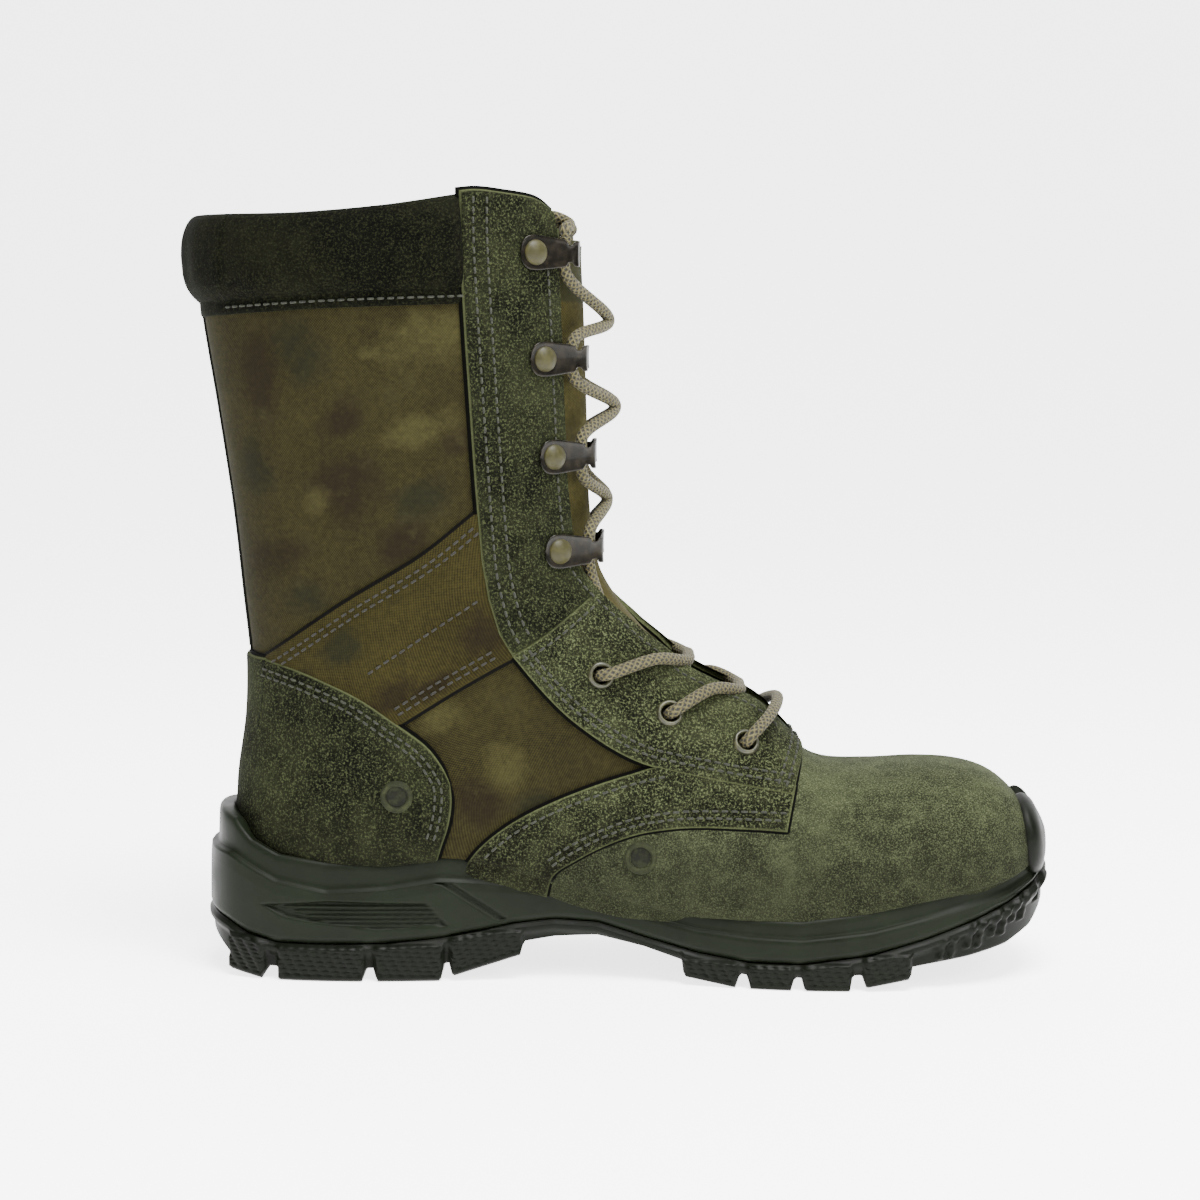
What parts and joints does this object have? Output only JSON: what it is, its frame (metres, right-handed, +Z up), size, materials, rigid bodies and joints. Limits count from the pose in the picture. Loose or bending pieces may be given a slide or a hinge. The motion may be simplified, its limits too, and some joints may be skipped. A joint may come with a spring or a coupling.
{
  "type": "jungle boot",
  "caption": "Tall laced field boot with suede and camouflage canvas upper, lace hooks, open collar and lugged rubber sole.",
  "frame": {"origin": "centre of the outline on the floor, at the lowest plane of the lugs", "axes": "+X to the toe, +Z up, -Y to the inner side of the foot"},
  "size_m": [0.3108, 0.1068, 0.2757],
  "materials": {
    "canvas": "woven camouflage canvas",
    "suede": "napped olive suede",
    "midsole_rubber": "satin moulded rubber",
    "outsole_rubber": "satin moulded rubber",
    "insole_cloth": "knitted lining cloth",
    "tongue_cloth": "woven nylon",
    "piping": "black woven tape",
    "lace_cord": "round braid with dark flecks",
    "hook_metal": "dark bronze lacquer with olive rivets",
    "eyelet_metal": "olive lacquered",
    "vent_metal": "olive painted ring and screen"
  },
  "bodies": {
    "root": {"upper": "canvas", "midsole": "midsole_rubber", "outsole": "outsole_rubber", "insole": "insole_cloth", "tongue": "tongue_cloth", "heel_counter": "suede", "collar_cuff": "suede", "back_strip": "piping", "facing_near": "suede", "eyestay_near": "suede", "wing_near": "suede", "strap_near": "canvas", "facing_far": "suede", "eyestay_far": "suede", "wing_far": "suede", "strap_far": "canvas", "lace": "lace_cord", "lace_end_near": "lace_cord", "hook_near_1": "hook_metal", "hook_near_2": "hook_metal", "hook_near_3": "hook_metal", "hook_near_4": "hook_metal", "eyelet_near_1": "eyelet_metal", "eyelet_near_2": "eyelet_metal", "eyelet_near_3": "eyelet_metal", "lace_end_far": "lace_cord", "hook_far_1": "hook_metal", "hook_far_2": "hook_metal", "hook_far_3": "hook_metal", "hook_far_4": "hook_metal", "eyelet_far_1": "eyelet_metal", "eyelet_far_2": "eyelet_metal", "eyelet_far_3": "eyelet_metal", "vent_1": "vent_metal", "vent_2": "vent_metal"}
  },
  "joints": []
}
